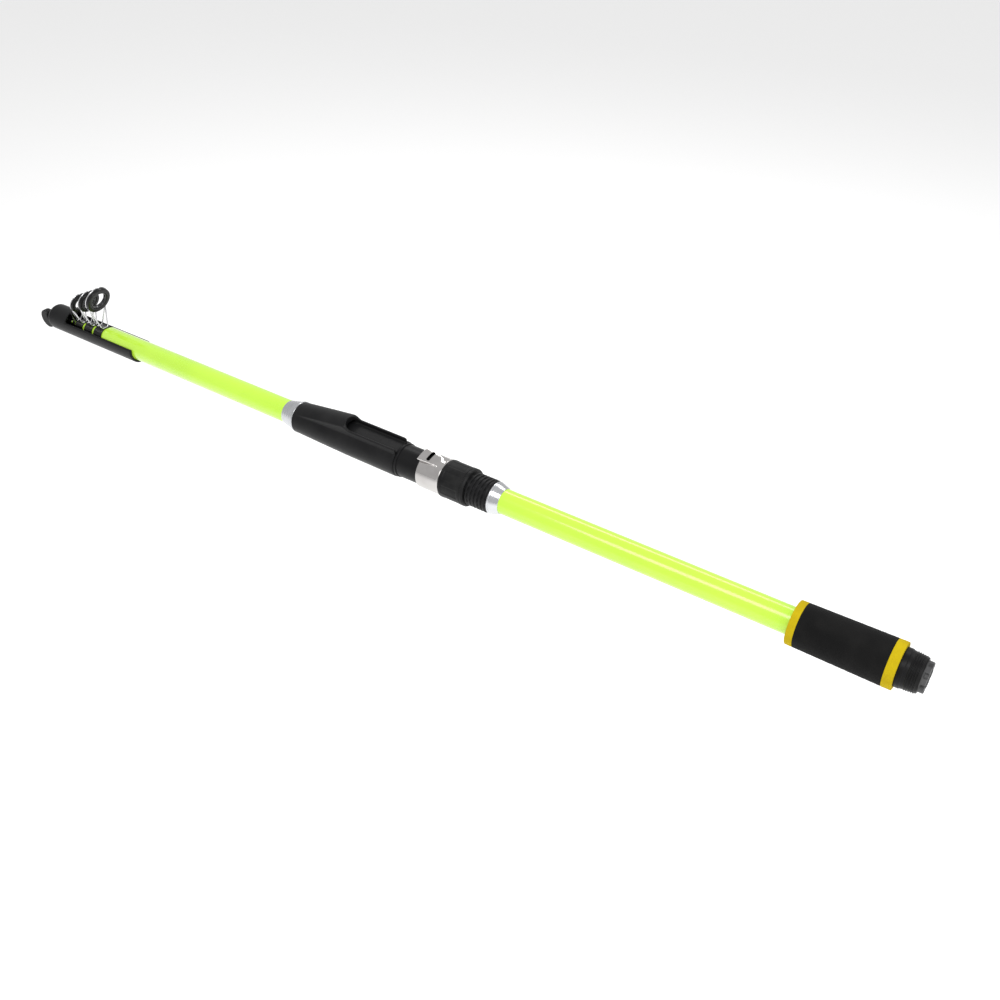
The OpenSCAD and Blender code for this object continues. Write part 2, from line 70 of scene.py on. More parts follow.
looks = {
    # painted light: the neon lacquer's glow lightens it with its own colour, as if more light fell on it
    "neonLacquer": dict(
        base=(0.53, 0.84, 0.055), worn=(0.47, 0.78, 0.048), rough=0.22, roughVary=0.10, grain=900,
        depth=0.02, broad=14, bands=330, bandDepth=0.03, coat=0.8, paintedGlow=0.08, shine=0.4),
    "blackFoam": dict(
        base=(0.0065, 0.0065, 0.0065), worn=(0.0110, 0.0108, 0.0105), rough=0.88, roughVary=0.10,
        grain=2600, depth=0.25, broad=60, pits=900, pitDepth=0.30, sheen=0.03, shine=0.10),
    "yellowFoam": dict(
        base=(0.56, 0.42, 0.006), worn=(0.47, 0.34, 0.006), rough=0.85, roughVary=0.10, grain=2400,
        depth=0.22, broad=80, pits=800, pitDepth=0.25, shine=0.12),
    "capPlastic": dict(
        base=(0.0045, 0.0045, 0.0048), worn=(0.0100, 0.0100, 0.0100), rough=0.42, roughVary=0.16,
        grain=1800, depth=0.05, broad=70, scratch=0.5, shine=0.16),
    "plugPlastic": dict(
        base=(0.050, 0.050, 0.052), worn=(0.085, 0.085, 0.085), rough=0.50, roughVary=0.16, grain=1500,
        depth=0.08, broad=90, scratch=0.5, shine=0.3),
    "sealRubber": dict(
        base=(0.012, 0.012, 0.012), worn=(0.022, 0.022, 0.022), rough=0.75, roughVary=0.10, grain=1800,
        depth=0.08, broad=60),
    "turnedAluminium": dict(
        base=(0.68, 0.69, 0.71), worn=(0.55, 0.56, 0.58), rough=0.17, roughVary=0.10, grain=1500,
        depth=0.02, broad=50, bands=1500, bandDepth=0.05, metal=1.0),
    "satinBlack": dict(
        base=(0.0065, 0.0065, 0.0070), worn=(0.0120, 0.0120, 0.0125), rough=0.36, roughVary=0.12,
        grain=3000, depth=0.06, broad=40, scratch=0.25, shine=0.16),
    "knurledBlack": dict(
        base=(0.0060, 0.0060, 0.0064), worn=(0.0160, 0.0160, 0.0160), rough=0.40, roughVary=0.12,
        grain=2500, depth=0.05, broad=90, scratch=0.3, shine=0.16),
    "arborFoam": dict(
        base=(0.42, 0.40, 0.34), worn=(0.34, 0.32, 0.27), rough=0.9, roughVary=0.05, grain=2000,
        depth=0.25, broad=60, pits=900, pitDepth=0.2),
    "mirrorSteel": dict(
        base=(0.60, 0.58, 0.57), worn=(0.52, 0.50, 0.49), rough=0.07, roughVary=0.07, grain=900,
        depth=0.008, broad=60, metal=1.0, scratch=0.35),
    "wireSteel": dict(
        base=(0.74, 0.74, 0.75), worn=(0.55, 0.55, 0.56), rough=0.20, roughVary=0.12, grain=2200,
        depth=0.02, broad=150, metal=1.0),
    "ringBlack": dict(
        base=(0.0060, 0.0060, 0.0062), worn=(0.0110, 0.0110, 0.0115), rough=0.24, roughVary=0.12,
        grain=2600, depth=0.03, broad=120, shine=0.25),
    "ceramic": dict(
        base=(0.014, 0.014, 0.016), worn=(0.022, 0.022, 0.025), rough=0.10, roughVary=0.06, grain=2600,
        depth=0.01, broad=120, coat=0.3, shine=0.4),
    "wrapEpoxy": dict(
        base=(0.0060, 0.0060, 0.0060), worn=(0.0100, 0.0100, 0.0100), rough=0.22, roughVary=0.14,
        grain=1500, depth=0.03, broad=120, bands=2600, bandDepth=0.06, coat=0.25, shine=0.2),
    "coverBlack": dict(
        base=(0.0060, 0.0060, 0.0065), worn=(0.0110, 0.0110, 0.0115), rough=0.34, roughVary=0.14,
        grain=1900, depth=0.05, broad=45, scratch=0.4, shine=0.18),
}

relief = dict(bump=0.6, bumpDistance=0.001, coatRough=0.08, bandWobble=1.2, scratchStretch=(40, 1400, 1400),
              scratchTurn=0.35, scratchRough=0.18, scratchDepth=0.03)


def makeMaterial(name, look):
    # colour = base mixed with worn by broad noise; a look with a glow also gives off its base colour as
    # light, which is painted light that lightens the finish
    # roughness = from rough less half of roughVary to rough plus roughVary, by broad plus grain noise
    # height = grain noise, plus bands along the rod, plus pits, less long scratches, each times its own depth
    mat = bpy.data.materials.new(name)
    mat.use_nodes = True
    tree = mat.node_tree
    new, link = tree.nodes.new, tree.links.new
    shader = tree.nodes["Principled BSDF"]
    place = new("ShaderNodeTexCoord").outputs["Object"]

    def noise(scale, detail, rough=0.55, vector=place):
        # smooth noise from 0 to 1, scale waves to the metre
        node = new("ShaderNodeTexNoise")
        node.inputs["Scale"].default_value = scale
        node.inputs["Detail"].default_value = detail
        node.inputs["Roughness"].default_value = rough
        link(vector, node.inputs["Vector"])
        return node.outputs["Fac"]

    def remap(value, low, high, outLow, outHigh):
        # value carried evenly from the range low to high onto outLow to outHigh
        node = new("ShaderNodeMapRange")
        for socket, amount in zip(("From Min", "From Max", "To Min", "To Max"), (low, high, outLow, outHigh)):
            node.inputs[socket].default_value = amount
        link(value, node.inputs["Value"])
        return node.outputs["Result"]

    def add(a, b):
        # a + b
        node = new("ShaderNodeMath")
        node.operation = "ADD"
        link(a, node.inputs[0])
        link(b, node.inputs[1])
        return node.outputs["Value"]

    broad = noise(look["broad"], 4.0)
    grain = noise(look["grain"], 3.0)
    mix = new("ShaderNodeMix")
    mix.data_type = "RGBA"
    link(remap(broad, 0.38, 0.72, 0.0, 1.0), mix.inputs["Factor"])
    mix.inputs["A"].default_value = (*look["base"], 1)
    mix.inputs["B"].default_value = (*look["worn"], 1)
    link(mix.outputs["Result"], shader.inputs["Base Color"])
    smoothest, roughest = look["rough"] - look["roughVary"] / 2, look["rough"] + look["roughVary"]
    rough = remap(add(broad, grain), 0.6, 1.4, smoothest, roughest)
    height = remap(grain, 0.0, 1.0, 0.0, look["depth"])
    if "bands" in look:
        wave = new("ShaderNodeTexWave")
        wave.bands_direction = "X"
        wave.inputs["Scale"].default_value = look["bands"] / (2 * math.pi)
        wave.inputs["Distortion"].default_value = relief["bandWobble"]
        wave.inputs["Detail"].default_value = 2.0
        link(place, wave.inputs["Vector"])
        height = add(height, remap(wave.outputs["Fac"], 0.0, 1.0, 0.0, look["bandDepth"]))
    if "pits" in look:
        cells = new("ShaderNodeTexVoronoi")
        cells.inputs["Scale"].default_value = look["pits"]
        link(place, cells.inputs["Vector"])
        height = add(height, remap(cells.outputs["Distance"], 0.0, 0.5, 0.0, look["pitDepth"]))
    if "scratch" in look:
        stretch = new("ShaderNodeMapping")
        stretch.inputs["Scale"].default_value = relief["scratchStretch"]
        stretch.inputs["Rotation"].default_value = (0, 0, relief["scratchTurn"])
        link(place, stretch.inputs["Vector"])
        lines = remap(noise(1.0, 2.0, vector=stretch.outputs["Vector"]), 0.66, 0.74, 0.0, 1.0)
        rough = add(rough, remap(lines, 0.0, 1.0, 0.0, relief["scratchRough"] * look["scratch"]))
        height = add(height, remap(lines, 0.0, 1.0, 0.0, -relief["scratchDepth"] * look["scratch"]))
    link(rough, shader.inputs["Roughness"])
    bump = new("ShaderNodeBump")
    bump.inputs["Strength"].default_value = relief["bump"]
    bump.inputs["Distance"].default_value = relief["bumpDistance"]
    link(height, bump.inputs["Height"])
    link(bump.outputs["Normal"], shader.inputs["Normal"])
    shader.inputs["Metallic"].default_value = look.get("metal", 0.0)
    shader.inputs["Specular IOR Level"].default_value = look.get("shine", 0.5)
    shader.inputs["Coat Weight"].default_value = look.get("coat", 0.0)
    shader.inputs["Coat Roughness"].default_value = relief["coatRough"]
    shader.inputs["Sheen Weight"].default_value = look.get("sheen", 0.0)
    # painted light: the finish gives off its own base colour as light, so it looks lighter than the lamps
    # make it
    if "paintedGlow" in look:
        shader.inputs["Emission Color"].default_value = (*look["base"], 1)
        shader.inputs["Emission Strength"].default_value = look["paintedGlow"]
    return mat


materials = {name: makeMaterial(name, look) for name, look in looks.items()}
slotLook = {"neon_gloss": "neonLacquer", "cap_plastic": "capPlastic", "plug_plastic": "plugPlastic",
            "seal_rubber": "sealRubber", "yellow_foam": "yellowFoam", "black_foam": "blackFoam",
            "polished_aluminium": "turnedAluminium", "seat_plastic": "satinBlack", "arbor_foam": "arborFoam",
            "polished_steel": "mirrorSteel", "foot_wrap": "wrapEpoxy", "steel_wire": "wireSteel",
            "black_ring": "ringBlack", "ceramic": "ceramic", "cover_plastic": "coverBlack"}
for part in frame["record"]["subparts"]:
    mesh = nodes[part["node"]].data
    mesh.materials.clear()
    mesh.materials.append(materials[slotLook[part["material_slot"]]])
print("materials made:", len(materials))


# Shape helpers, in millimetres

def smoothStep(x, a, b):
    # 3t^2 - 2t^3, where t runs from 0 at a to 1 at b
    t = np.clip((x - a) / (b - a), 0, 1)
    return t * t * (3 - 2 * t)


def softMax(a, b, k):
    # (a + b + root((a - b)^2 + k^2)) / 2
    return (a + b + np.sqrt((a - b) ** 2 + k * k)) / 2


def rounded(points, radius, steps=5):
    # each corner becomes a quadratic curve that starts and ends at most radius away along its two sides
    p = np.array(points, float)
    before, after = np.roll(p, 1, 0) - p, np.roll(p, -1, 0) - p
    lb, la = np.linalg.norm(before, axis=1), np.linalg.norm(after, axis=1)
    r = np.broadcast_to(np.asarray(radius, float), (len(p),))
    cut = np.minimum(r, 0.45 * np.minimum(lb, la))[:, None]
    a, b = p + before / lb[:, None] * cut, p + after / la[:, None] * cut
    t = np.linspace(0, 1, steps)[None, :, None]
    curve = (1 - t) ** 2 * a[:, None] + 2 * t * (1 - t) * p[:, None] + t * t * b[:, None]
    return curve.reshape(-1, 2)


def angles(count, extra=()):
    # even angles from the top, plus some extra ones
    return np.unique(np.round(np.concatenate([np.arange(count) * 360 / count, np.mod(extra, 360)]), 4))


def ringGrid(x, r, degrees):
    # closed profile of x and radius, row by row, carried round the rod's axis: y = r sin t, z = r cos t
    t = np.radians(degrees)
    m, n = len(x), len(t)
    x = np.broadcast_to(np.asarray(x, float).reshape(m, -1), (m, n))
    r = np.broadcast_to(np.asarray(r, float).reshape(m, -1), (m, n))
    points = np.stack([x, r * np.sin(t), r * np.cos(t)], -1).reshape(-1, 3)
    i, j = np.meshgrid(np.arange(m), np.arange(n), indexing="ij")
    i2, j2 = (i + 1) % m, (j + 1) % n
    quads = np.stack([i * n + j, i2 * n + j, i2 * n + j2, i * n + j2], -1).reshape(-1, 4)
    return points, quads


def sweep(path, radius, sides=18):
    # circle carried along a path with no twist, closed at both ends by half-spheres
    p = np.array(path, float)
    d = np.gradient(p, axis=0)
    d /= np.linalg.norm(d, axis=1)[:, None]
    side = np.cross(d[0], (0.3, 0.2, 0.9))
    frames = []
    for direction in d:
        side = side - direction * side.dot(direction)
        side = side / np.linalg.norm(side)
        frames.append((side, np.cross(direction, side)))
    u, v = np.array([f[0] for f in frames]), np.array([f[1] for f in frames])
    a = np.linspace(math.pi / 2, 0, 5)
    start = [(0, -math.sin(q) * radius, math.cos(q) * radius) for q in a]
    end = [(len(p) - 1, math.sin(q) * radius, math.cos(q) * radius) for q in a[::-1]]
    rows = start + [(i, 0.0, radius) for i in range(1, len(p) - 1)] + end
    index = np.array([q[0] for q in rows])
    shift, size = np.array([q[1] for q in rows]), np.array([q[2] for q in rows])
    c = np.linspace(0, 2 * math.pi, sides, endpoint=False)
    centre = p[index] + d[index] * shift[:, None]
    around = u[index][:, None] * np.cos(c)[None, :, None] + v[index][:, None] * np.sin(c)[None, :, None]
    points = (centre[:, None] + around * size[:, None, None]).reshape(-1, 3)
    m = len(rows)
    i, j = np.meshgrid(np.arange(m - 1), np.arange(sides), indexing="ij")
    j2 = (j + 1) % sides
    quads = np.stack([i * sides + j, (i + 1) * sides + j, (i + 1) * sides + j2, i * sides + j2], -1)
    quads = quads.reshape(-1, 4)
    return points, quads


def prism(outline, low, high):
    # outline of x and y carried from z = low to z = high
    o = np.array(outline, float)
    n = len(o)
    points = np.vstack([np.column_stack([o, np.full(n, low)]), np.column_stack([o, np.full(n, high)])])
    sides = [(i, (i + 1) % n, n + (i + 1) % n, n + i) for i in range(n)]
    return points, [tuple(range(n))[::-1], tuple(range(n, 2 * n))] + sides


def turned(points, degrees):
    # turned about the rod's axis, the top towards +Y
    a = math.radians(degrees)
    x, y, z = np.asarray(points, float).T
    return np.column_stack([x, y * math.cos(a) + z * math.sin(a), z * math.cos(a) - y * math.sin(a)])


def facingOut(p, f):
    # six times the volume = sum of a . (b x c) over the triangles; below zero, every face is reversed
    q = np.array(f)
    a, b, c, e = p[q[:, 0]], p[q[:, 1]], p[q[:, 2]], p[q[:, -1]]
    volume = np.sum(a * np.cross(b, c))
    if q.shape[1] == 4:
        volume += np.sum(a * np.cross(c, e))
    return q[:, ::-1].tolist() if volume < 0 else f


def makeObject(name, shapes):
    # one mesh from several closed shapes: points times mm, doubles merged, faces outward
    mesh = bpy.data.meshes.new(name)
    points, faces, start = [], [], 0
    for p, f in shapes:
        p = np.asarray(p, float)
        f = [list(map(int, q)) for q in f]
        if len({len(q) for q in f}) == 1:
            f = facingOut(p, f)
        faces += [[k + start for k in q] for q in f]
        points.append(p)
        start += len(p)
    mesh.from_pydata((np.vstack(points) * mm).tolist(), [], faces)
    obj = bpy.data.objects.new(name, mesh)
    bpy.context.scene.collection.objects.link(obj)
    shape = bmesh.new()
    shape.from_mesh(mesh)
    bmesh.ops.remove_doubles(shape, verts=shape.verts, dist=1e-7)
    bmesh.ops.dissolve_degenerate(shape, edges=shape.edges, dist=1e-8)
    shape.to_mesh(mesh)
    shape.free()
    return obj


def bake(obj, *cutters):
    # the shape after its modifiers, with the cutters thrown away
    bpy.context.view_layer.update()
    done = bpy.data.meshes.new_from_object(obj.evaluated_get(bpy.context.evaluated_depsgraph_get()))
    obj.modifiers.clear()
    old, obj.data = obj.data, done
    bpy.data.meshes.remove(old)
    for cutter in cutters:
        bpy.data.objects.remove(cutter)


def cut(obj, *cutters):
    # the object less every cutter
    for cutter in cutters:
        step = obj.modifiers.new("cut", "BOOLEAN")
        step.operation, step.solver, step.object = "DIFFERENCE", "EXACT", cutter
    bake(obj, *cutters)


def roundEdges(obj, voxel, rounds):
    # rebuilt on an even grid and smoothed, which rounds every edge a little
    step = obj.modifiers.new("grid", "REMESH")
    step.mode, step.voxel_size, step.use_smooth_shade = "VOXEL", voxel * mm, True
    step = obj.modifiers.new("round", "SMOOTH")
    step.factor, step.iterations = 0.5, rounds


def finish(obj, look, body, replaced, sharp=38):
    # smooth shading, broken at edges sharper than sharp degrees; 0 keeps every edge smooth
    obj.data.materials.clear()
    obj.data.materials.append(materials[look])
    obj.data.polygons.foreach_set("use_smooth", np.ones(len(obj.data.polygons), dtype=bool))
    if sharp:
        obj.data.set_sharp_from_angle(angle=math.radians(sharp))
    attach(obj, body)
    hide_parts(*replaced)
    return obj


# Rod sections: five that slide into one another

rod = dict(rearEnd=14, buttRear=12.2, seatFront=661, buttMid=12.19, buttFront=11.97, mouth=942, stepOut=19,
           bore=10.9, drop=2.1, lip=0.35, lipLen=12, wall=0.75, rear=34, swell=60, fit=0.05, free=0.3,
           tipFront=1.4, sides=160, edge=0.3)


def sectionProfile(k, v):
    # bore = first bore less k drops; the outside tapers evenly from the thick rear end to the front
    front = v["mouth"] + k * v["stepOut"]
    outer, inner = v["bore"] - (k - 1) * v["drop"], v["bore"] - k * v["drop"]
    lipStart, lipR = front - v["lipLen"], inner - v["lip"]
    lip = [(front, lipR), (lipStart, lipR), (lipStart, inner)]
    if k == 0:
        outside = [(v["rearEnd"], v["buttRear"]), (v["seatFront"], v["buttMid"]), (front, v["buttFront"])]
        return [(v["rearEnd"], inner)] + outside + lip
    shoulder = v["rear"] + v["swell"]
    rear = [(v["rear"], outer - v["fit"]), (shoulder, outer - v["fit"]),
            (shoulder, outer - v["lip"] - v["free"])]
    if k == 4:
        return [(v["rear"], 0)] + rear + [(front, v["tipFront"]), (front, 0)]
    return [(v["rear"], inner)] + rear + [(front, inner + v["wall"])] + lip


sections = (("buttBlank", "butt_blank", "butt_section"), ("secondSection", "second_section", "section_two"),
            ("thirdSection", "third_section", "section_three"),
            ("fourthSection", "fourth_section", "section_four"), ("tipSection", "tip_section", "section_tip"))
for k, (name, node, owner) in enumerate(sections):
    x, r = rounded(sectionProfile(k, rod), rod["edge"], 4).T
    if k == 4:
        atEnd = (x == x.min()) | (x == x.max())
        r = np.where(atEnd & (r < 0.4), 0, r)  # the solid tip closes on the axis
    tube = makeObject(name, [ringGrid(x, np.maximum(r, 0), angles(rod["sides"]))])
    finish(tube, "neonLacquer", owner, [node])
print("sections made")


# Butt end: foam grip with its two rings, cap and plug

grip = dict(ringRear=22.0, ringLen=8, gripEnd=102.5, front=109, rear=20.2, nose=19.3, bore=12.2, edge=0.5,
            wave=0.05)


def foamSleeve(g, x0, x1, r0, r1, seed):
    # radius goes evenly from r0 to r1, plus wave times (sin 0.9x times sin(3t + 0.2x), less 1)
    t = angles(150)
    outer = rounded([(x0, g["bore"]), (x0, r0), (x1, r1), (x1, g["bore"])], g["edge"], 5)
    body = np.column_stack([np.linspace(x0 + 1, x1 - 1, 60), np.linspace(r0, r1, 60)])
    k = np.argmax(outer[:, 0] > (x0 + x1) / 2)
    points = np.vstack([outer[:k], body, outer[k:]])
    x, r = points[:, :1], points[:, 1:]
    wave = np.sin(x * 0.9 + seed) * np.sin(np.radians(t)[None] * 3 + seed + x * 0.2) - 1
    return ringGrid(x[:, 0], r + g["wave"] * wave * (r > g["bore"] + 1), t)


ringEnd, gripEnd = grip["ringRear"] + grip["ringLen"], grip["gripEnd"]
rearR, noseR = grip["rear"], grip["nose"]
foamPieces = (
    ("rearGripRing", "rear_grip_ring", "yellowFoam", "yellow_foam",
     (grip["ringRear"], ringEnd, rearR, rearR, 1.0)),
    ("buttGrip", "butt_grip", "blackFoam", "black_foam",
     (ringEnd, gripEnd, rearR - 0.02, noseR, 2.0)),
    ("frontGripRing", "front_grip_ring", "yellowFoam", "yellow_foam",
     (gripEnd, grip["front"], noseR, noseR - 0.1, 3.0)))
for name, node, look, slotName, sizes in foamPieces:
    piece = finish(makeObject(name, [foamSleeve(grip, *sizes)]), look, "butt_section", [node])

cap = dict(rim=4.5, end=22, shank=11.6, bore=12.2, face=14.7, ridges=5, pitch=1.75, depth=0.55, grow=0.15,
           outer=16.6, collar=17.0, blankEnd=14, edge=0.22)


def capProfile(c):
    # ridges of the same depth, each one grow wider than the one behind it, then a plain collar
    x = c["rim"] + 1.2
    points = [(c["rim"], c["shank"]), (c["rim"], c["face"]), (x, c["outer"] - 1 - c["depth"])]
    for k in range(c["ridges"]):
        top = c["outer"] - 1 + c["grow"] * k
        points += [(x + 0.35, top - c["depth"]), (x + 0.75, top), (x + 1.25, top),
                   (x + 1.6, top - c["depth"])]
        x += c["pitch"]
    points += [(c["collar"], c["outer"] - 0.5), (c["collar"] + 0.6, c["outer"]), (c["end"], c["outer"]),
               (c["end"], c["bore"]), (c["blankEnd"], c["bore"]), (c["blankEnd"], c["shank"])]
    return rounded(points, c["edge"], 4)


x, r = capProfile(cap).T
capObject = makeObject("buttCap", [ringGrid(x, r, angles(160))])
finish(capObject, "capPlastic", "butt_section", ["butt_cap"])

plug = dict(head=13.1, teeth=8, half=2.3, depth=2.7, notchLen=3.4, back=4.4, dish=8.5, dishDepth=0.7,
            shank=11.4, shankEnd=13.5, seal=10.55, sealEnd=19.5, stub=3, end=28, barbs=4, barbStart=5.6,
            barbPitch=2)


def plugGrid(p):
    # head radius less the notch depth inside each notch, over the first few millimetres
    t = angles(360)
    phase = (t + 180 / p["teeth"]) % (360 / p["teeth"]) - 180 / p["teeth"]
    across = np.abs(phase) * math.pi / 180 * p["head"]
    notch = 1 - smoothStep(across, p["half"] - 0.35, p["half"] + 0.15)
    rows = [(0.9, 0), (p["dishDepth"], p["dish"] - 0.4), (0.05, p["dish"]), (0, p["dish"] + 0.4),
            (0, p["head"] - 0.6), (0.15, p["head"] - 0.2), (0.6, p["head"])]
    rows += [(q, p["head"]) for q in (p["notchLen"] - 0.5, p["notchLen"], p["notchLen"] + 0.4)]
    rows += [(p["back"] - 0.1, p["head"]), (p["back"], p["head"] - 0.2), (p["back"], p["shank"])]
    for k in range(p["barbs"]):
        q = p["barbStart"] + p["barbPitch"] * k
        rows += [(q, p["shank"] - 0.5), (q + 0.7, p["shank"]), (q + 1.2, p["shank"]),
                 (q + 1.8, p["shank"] - 0.5)]
    rows += [(p["shankEnd"], p["seal"]), (p["sealEnd"], p["seal"]), (p["sealEnd"], p["stub"]),
             (p["end"] - 0.4, p["stub"]), (p["end"], p["stub"] - 0.5), (p["end"], 0)]
    x, r = np.array(rows).T[:, :, None]
    reach = 1 - smoothStep(x, p["notchLen"] - 0.6, p["notchLen"] + 0.5)
    limit = p["head"] - p["depth"] * notch[None] * reach
    inHead = r > p["head"] - p["depth"] - 0.1
    return ringGrid(x[:, 0], np.where(inHead, np.minimum(r, limit), r * np.ones_like(limit)), t)


finish(makeObject("buttPlug", [plugGrid(plug)]), "plugPlastic", "plug", ["butt_plug"])
print("butt end made")


# Reel seat: two metal rings (checks), threaded barrel, lock nut, moving hood, fixed hood and end ring

seat = dict(turn=10, barrel=401.6, nut=427, body=507, front=643, pitch=4, crest=16.2, root=15.0, smooth=16.4,
            sleeve=14.8, bore=13.2, threadEnd=478, keyHalf=5.5, keyFloor=14.9)
rearCheck = dict(back=391, face=12.7, cone=(392.4, 13.4, 399.2, 15.6), grooves=3, rim=16.0, end=401.55,
                 bore=12.22)
frontCheck = dict(back=643, rim=16.7, cone=(645.6, 16.05, 659.6, 13.0), grooves=4, end=661, bore=12.22,
                  nose=12.0)


def grooved(x0, r0, x1, r1, count, depth=0.12):
    # points along a straight line with count V-shaped grooves
    t = np.linspace(0, 1, 4 * count + 1)
    dip = np.tile([0, 0, depth, 0], count)
    return list(zip(x0 + (x1 - x0) * t[:-1], r0 + (r1 - r0) * t[:-1] - dip)) + [(x1, r1)]


def rearCheckProfile(c):
    # a cone that widens towards the seat, grooved, with a rolled rim in front
    back = [(c["back"], c["bore"]), (c["back"], c["face"]), (392, 13.3)]
    rim = [(399.9, 15.2), (400.4, 15.9), (c["end"], c["rim"]), (c["end"], c["bore"])]
    return back + grooved(*c["cone"], c["grooves"]) + rim


def frontCheckProfile(c):
    # a rim as wide as the seat's end, then a grooved cone that narrows to the blank
    rim = [(c["back"], c["bore"]), (c["back"], c["rim"]), (644.5, c["rim"]), (645, 16.2)]
    return rim + grooved(*c["cone"], c["grooves"]) + [(660.4, 12.8), (c["end"], 12.5), (c["end"], c["nose"])]


for name, node, profile in (("rearWindingCheck", "rear_winding_check", rearCheckProfile(rearCheck)),
                            ("frontWindingCheck", "front_winding_check", frontCheckProfile(frontCheck))):
    x, r = rounded(profile, 0.35, 5).T
    cone = makeObject(name, [ringGrid(x, r, angles(180))])
    finish(cone, "turnedAluminium", "butt_section", [node], 30)


def barrelGrid(s):
    # thread: radius follows a flat-topped wave of x less one pitch for each turn; key slot below
    half = s["keyHalf"]
    t = angles(132, [180 - half - 0.2, 180 - half + 0.2, 180 + half - 0.2, 180 + half + 0.2])
    x = np.concatenate([[s["barrel"]], np.arange(s["barrel"] + 0.3, s["threadEnd"], 0.3),
                        [s["threadEnd"], s["threadEnd"] + 0.4, s["body"] - 0.7, s["body"] - 0.2, s["body"],
                         s["body"] + 0.01, s["front"]]])
    wave = 0.5 + 0.5 * np.cos(2 * np.pi * (x[:, None] / s["pitch"] - t[None] / 360))
    fade = smoothStep(x, s["barrel"] + 0.2, s["barrel"] + 3)[:, None]
    fade = fade * (1 - smoothStep(x, s["threadEnd"] - 4, s["threadEnd"]))[:, None]
    r = s["root"] + (s["crest"] - s["root"]) * smoothStep(wave, 0.3, 0.7) * fade
    plain = (x > s["threadEnd"] + 0.1) & (x < s["body"] + 0.005)
    r[plain] = s["smooth"]
    r[x > s["body"] + 0.005] = s["sleeve"]
    slot = (np.abs(t - 180) < half)[None] & ((x > s["nut"]) & (x < s["body"] - 0.5))[:, None]
    r = np.where(slot, np.minimum(r, s["keyFloor"]), r)
    inner = np.full((2, len(t)), s["bore"])
    return ringGrid(np.concatenate([x, [s["front"], s["barrel"]]]), np.vstack([r, inner]), t)


p, f = barrelGrid(seat)
barrel = makeObject("seatBarrel", [(turned(p, seat["turn"]), f)])
finish(barrel, "satinBlack", "butt_section", ["seat_barrel"], 50)

nut = dict(x=427, length=28.65, r=18.75, bore=16.45, relief=18.0, reliefLen=7.5, panels=8, panelHalf=12.5,
           panelDepth=0.5, collar=6, tail=3, knurl=0.13, knurlPitch=1.25)


def nutGrid(n):
    # outside less the panel depth, with a diagonal knurl in each panel: |sin(u + v)| + |sin(u - v)|
    t = angles(640)
    end = n["length"]
    x = np.concatenate([[0, 0.15, 0.5, 1.0, 1.4, 1.7, 2.4, 3.4, 3.7, 4.0, 4.3],
                        np.linspace(4.8, end - 1.0, 86), end - np.array([0.6, 0.3, 0.1, 0])])
    base = n["r"] - 1.3 * (1 - smoothStep(x, -0.8, 1.6))
    base = base - 0.35 * smoothStep(x, 3.4, 3.7) * (1 - smoothStep(x, 4.0, 4.3))
    base = base - 0.5 * smoothStep(x, end - 0.6, end + 0.2)
    phase = np.abs((t + 180 / n["panels"]) % (360 / n["panels"]) - 180 / n["panels"])
    across = 1 - smoothStep(phase, n["panelHalf"], n["panelHalf"] + 2.2)
    along = smoothStep(x, n["collar"], n["collar"] + 1.2)
    along = along * (1 - smoothStep(x, end - n["tail"] - 1.2, end - n["tail"]))
    panel = along[:, None] * across[None]
    u = np.pi * x[:, None] / n["knurlPitch"]
    v = np.pi * np.radians(t)[None] * n["r"] / n["knurlPitch"]
    knurl = n["knurl"] * (np.abs(np.sin(u + v)) + np.abs(np.sin(u - v)))
    r = base[:, None] - panel * (n["panelDepth"] - knurl)
    inner = np.repeat([n["relief"], n["relief"], n["bore"], n["bore"]], len(t)).reshape(4, -1)
    xi = np.array([end, end - n["reliefLen"], end - n["reliefLen"], 0])
    return ringGrid(n["x"] + np.concatenate([x, xi]), np.vstack([r, inner]), t)


finish(makeObject("lockNut", [nutGrid(nut)]), "knurledBlack", "nut", ["lock_nut"], 45)
print("barrel and nut made")

hood = dict(x=456, front=482, r=18.45, inner=17.45, lipStart=461, lipTop=5.3, lipRear=6, lipHalf=10.6,
            plate=42, mouth=8, ramp=465, throat=21.7, wall=0.7, slotLen=12.5, slotWidth=3.4, slotBack=9)


def hoodOutside(h, x, a):
    # a rolled sleeve, plus the height of a 42 mm plate above it, faded out over 1.3 mm at the plate's sides
    bead = 0.35 * np.exp(-((x - h["x"] - 0.9) / 0.55) ** 2)
    end = 0.5 * (1 - smoothStep(x, h["x"] - 0.4, h["x"] + 0.7))
    end = end + 0.35 * smoothStep(x, h["front"] - 0.5, h["front"] + 0.3)
    base = (h["r"] - 0.35 + bead - end)[:, None] * np.ones(len(a))
    run = np.clip((x - h["lipStart"]) / (h["front"] - h["lipStart"]), 0, 1)
    centre = (h["r"] - 0.9 + h["lipTop"] * run - h["plate"] + 0.6 * smoothStep(run, 0, 0.3))[:, None]
    plate = centre * np.cos(a) + np.sqrt(h["plate"] ** 2 - (centre * np.sin(a)) ** 2)
    half = (h["lipRear"] + (h["lipHalf"] - h["lipRear"]) * run)[:, None]
    across = plate * np.abs(np.sin(a))
    fade = 1 - smoothStep(across, half - 0.7, half + 0.6)
    rise = softMax(plate - base - end[:, None], np.zeros_like(base), 0.25) * (np.cos(a) > 0)
    return base + rise * fade * smoothStep(x, h["lipStart"] - 2, h["lipStart"] + 6)[:, None]


